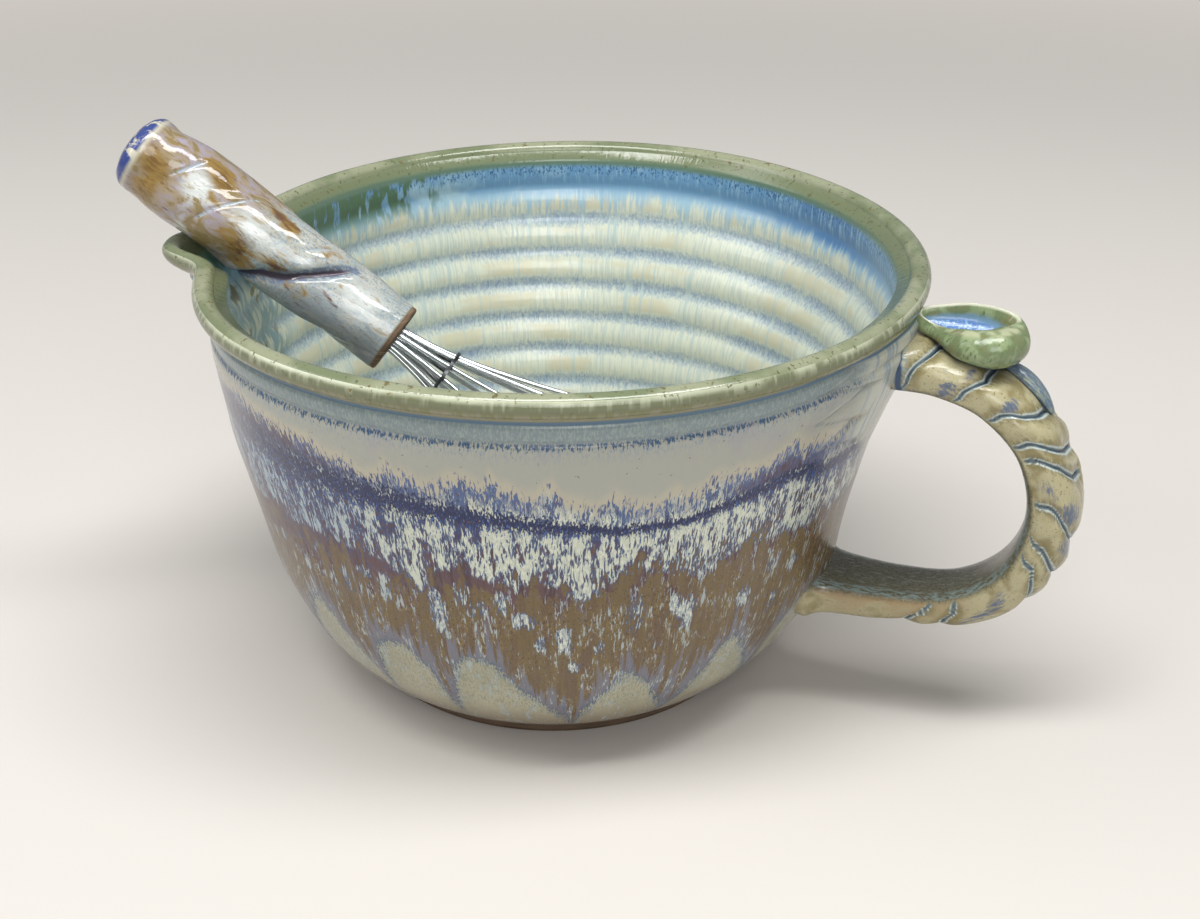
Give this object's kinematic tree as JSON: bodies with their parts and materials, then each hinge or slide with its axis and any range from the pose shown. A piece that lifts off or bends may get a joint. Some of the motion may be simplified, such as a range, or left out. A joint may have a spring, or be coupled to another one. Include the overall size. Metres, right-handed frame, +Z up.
{
  "type": "batter bowl",
  "caption": "Glazed stoneware batter bowl with a pinched pour spout, a twisted pull handle with a thumb rest, and a balloon whisk lying in the spout.",
  "frame": {"origin": "centre of the foot on the plane of the table", "axes": "+Z is up, +X runs out through the middle of the pull handle, the spout points 17.5 degrees from -X towards -Y"},
  "size_m": [0.2577, 0.2019, 0.1497],
  "materials": {
    "glazed_stoneware": "glossy runny glaze",
    "glazed_stoneware_ochre": "glossy runny glaze",
    "glazed_stoneware_blue": "glossy runny glaze",
    "glazed_stoneware_green": "glossy runny glaze",
    "glazed_stoneware_cream": "glossy runny glaze",
    "socket_cement": "matt",
    "stainless_wire": "bright drawn wire",
    "disc_steel": "dark satin"
  },
  "bodies": {
    "bowl": {"bowl_body": "glazed_stoneware", "handle": "glazed_stoneware_ochre", "handle_strand": "glazed_stoneware_blue", "thumb_rest": "glazed_stoneware_green"},
    "whisk": {"whisk_grip": "glazed_stoneware_cream", "wire_socket": "socket_cement", "wire_loop_1": "stainless_wire", "wire_loop_2": "stainless_wire", "wire_loop_3": "stainless_wire", "wire_loop_4": "stainless_wire", "wire_loop_5": "stainless_wire", "spreader_disc": "disc_steel"}
  },
  "joints": [
    {"name": "whisk_lift", "type": "slide", "parent": "bowl", "child": "whisk", "axis": [0, 0, 1], "range_m": [0, 0.13]}
  ]
}
